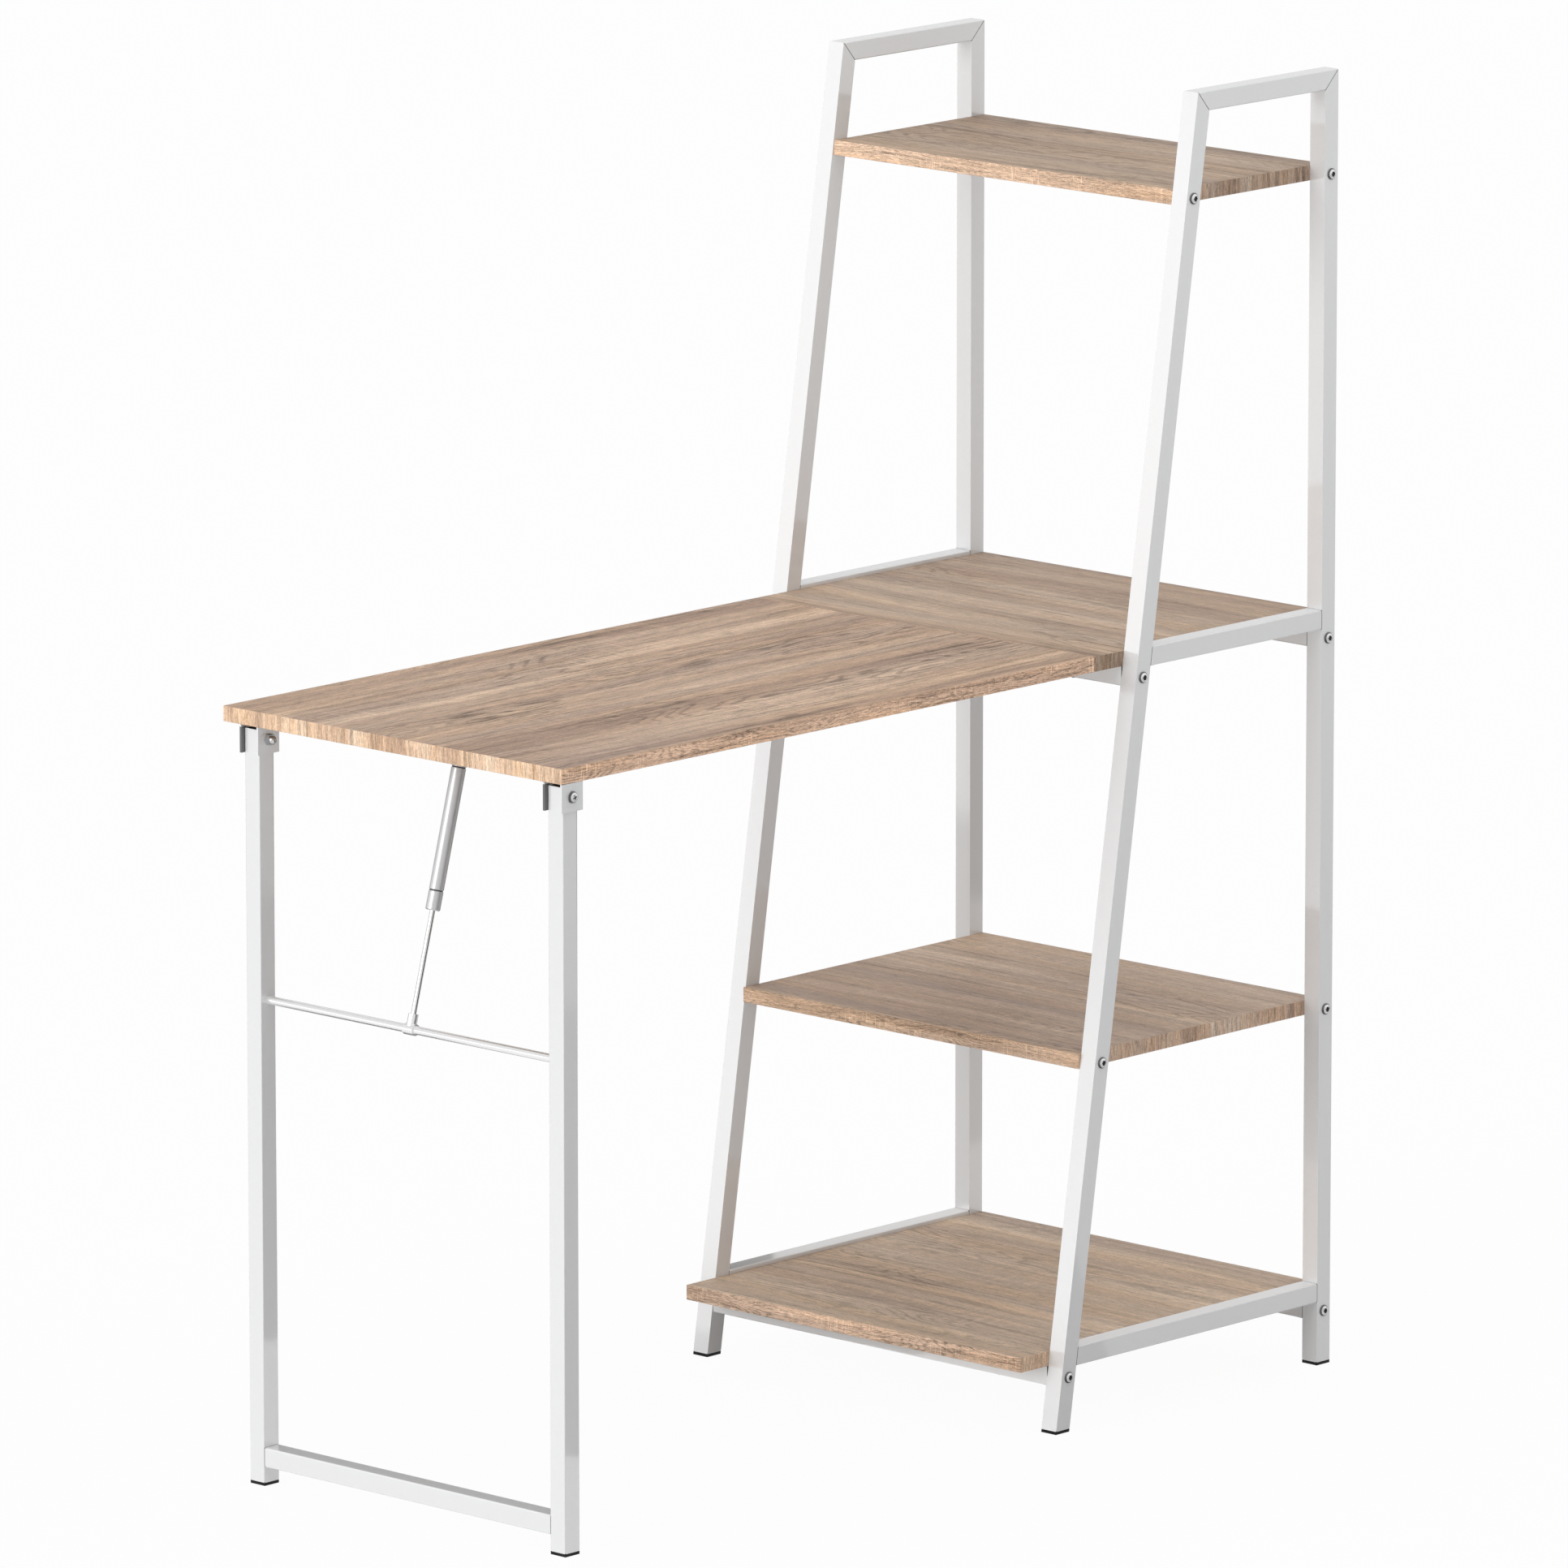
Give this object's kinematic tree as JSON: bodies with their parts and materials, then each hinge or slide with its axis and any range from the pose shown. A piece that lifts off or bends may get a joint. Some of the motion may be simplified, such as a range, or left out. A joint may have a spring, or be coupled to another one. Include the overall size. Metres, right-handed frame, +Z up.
{
  "type": "folding desk with shelf",
  "caption": "Ladder shelf of white square tube with oak-look boards and a desk leaf that hinges down after its gas-strut leg frame folds under it.",
  "frame": {"origin": "middle of the footprint box, on the floor", "axes": "+Z up, -X from the shelf towards the free end of the leaf, -Y towards the near side of the picture"},
  "size_m": [1.063, 0.486, 1.283],
  "materials": {
    "oak_board": "satin oak-grain laminate",
    "white_steel": "white powder coat",
    "black_plastic": "black moulded",
    "seal_rubber": "black",
    "strut_silver": "silver satin",
    "chromed_rod": "polished",
    "zinc_steel": "zinc plated"
  },
  "bodies": {
    "shelf": {"near_rear_post": "white_steel", "near_front_post": "white_steel", "near_top_rail": "white_steel", "near_desk_side_rail": "white_steel", "near_bottom_side_rail": "white_steel", "near_rear_foot": "black_plastic", "near_front_foot": "black_plastic", "near_frame_bolts": "zinc_steel", "near_hinge_shelf_plate": "zinc_steel", "near_hinge_pin": "chromed_rod", "far_rear_post": "white_steel", "far_front_post": "white_steel", "far_top_rail": "white_steel", "far_desk_side_rail": "white_steel", "far_bottom_side_rail": "white_steel", "far_rear_foot": "black_plastic", "far_front_foot": "black_plastic", "far_frame_bolts": "zinc_steel", "far_hinge_shelf_plate": "zinc_steel", "far_hinge_pin": "chromed_rod", "desk_front_cross_rail": "white_steel", "desk_rear_cross_rail": "white_steel", "bottom_front_cross_rail": "white_steel", "bottom_rear_cross_rail": "white_steel", "rail_end_plugs": "black_plastic", "rail_screws": "zinc_steel", "board_edge_inserts": "zinc_steel", "top_shelf": "oak_board", "lower_shelf": "oak_board", "bottom_shelf": "oak_board", "desk_shelf": "oak_board", "shelf_hinge_screws": "zinc_steel"},
    "leaf": {"folding_leaf": "oak_board", "near_hinge_leaf_plate": "zinc_steel", "far_hinge_leaf_plate": "zinc_steel", "leaf_hinge_screws": "zinc_steel", "near_leg_bracket": "white_steel", "far_leg_bracket": "white_steel", "leg_bracket_screws": "zinc_steel", "leg_pivot_bolts": "zinc_steel", "leg_pivot_washers": "zinc_steel", "leg_pivot_nuts": "zinc_steel", "strut_top_bracket": "white_steel", "strut_bracket_screws": "zinc_steel", "strut_pivot_screw": "zinc_steel"},
    "leg_frame": {"near_leg": "white_steel", "far_leg": "white_steel", "near_leg_foot": "black_plastic", "far_leg_foot": "black_plastic", "leg_bottom_rail": "white_steel", "leg_pivot_bushes": "black_plastic", "strut_crossbar": "white_steel"},
    "strut_rod": {"strut_tee_clip": "white_steel", "strut_piston_rod": "chromed_rod", "strut_piston": "black_plastic"},
    "strut_cylinder": {"strut_cylinder": "strut_silver", "strut_end_collar": "strut_silver", "strut_seal": "seal_rubber", "strut_top_eye": "strut_silver", "strut_top_pin": "chromed_rod"}
  },
  "joints": [
    {"name": "leaf_drop", "type": "hinge", "parent": "shelf", "child": "leaf", "pos_m": [0.20375, 0, 0.7315], "axis": [0, -1, 0], "range_deg": [0, 72]},
    {"name": "leg_fold", "type": "hinge", "parent": "leaf", "child": "leg_frame", "pos_m": [-0.51805, -0.011, 0.722], "axis": [0, -1, 0], "range_deg": [0, 90]},
    {"name": "strut_swing", "type": "hinge", "parent": "leg_frame", "child": "strut_rod", "pos_m": [-0.51805, -0.011, 0.471], "axis": [0, -1, 0], "range_deg": [0, 15.37]},
    {"name": "strut_slide", "type": "slide", "parent": "strut_rod", "child": "strut_cylinder", "axis": [0.2651, 0, 0.9642], "range_m": [-0.07831, 0]}
  ],
  "couplings": [
    {"joint": "strut_swing", "follows": "leg_fold", "ratio": 0.17079},
    {"joint": "strut_slide", "follows": "leg_fold", "m_per_rad": -0.049854}
  ]
}
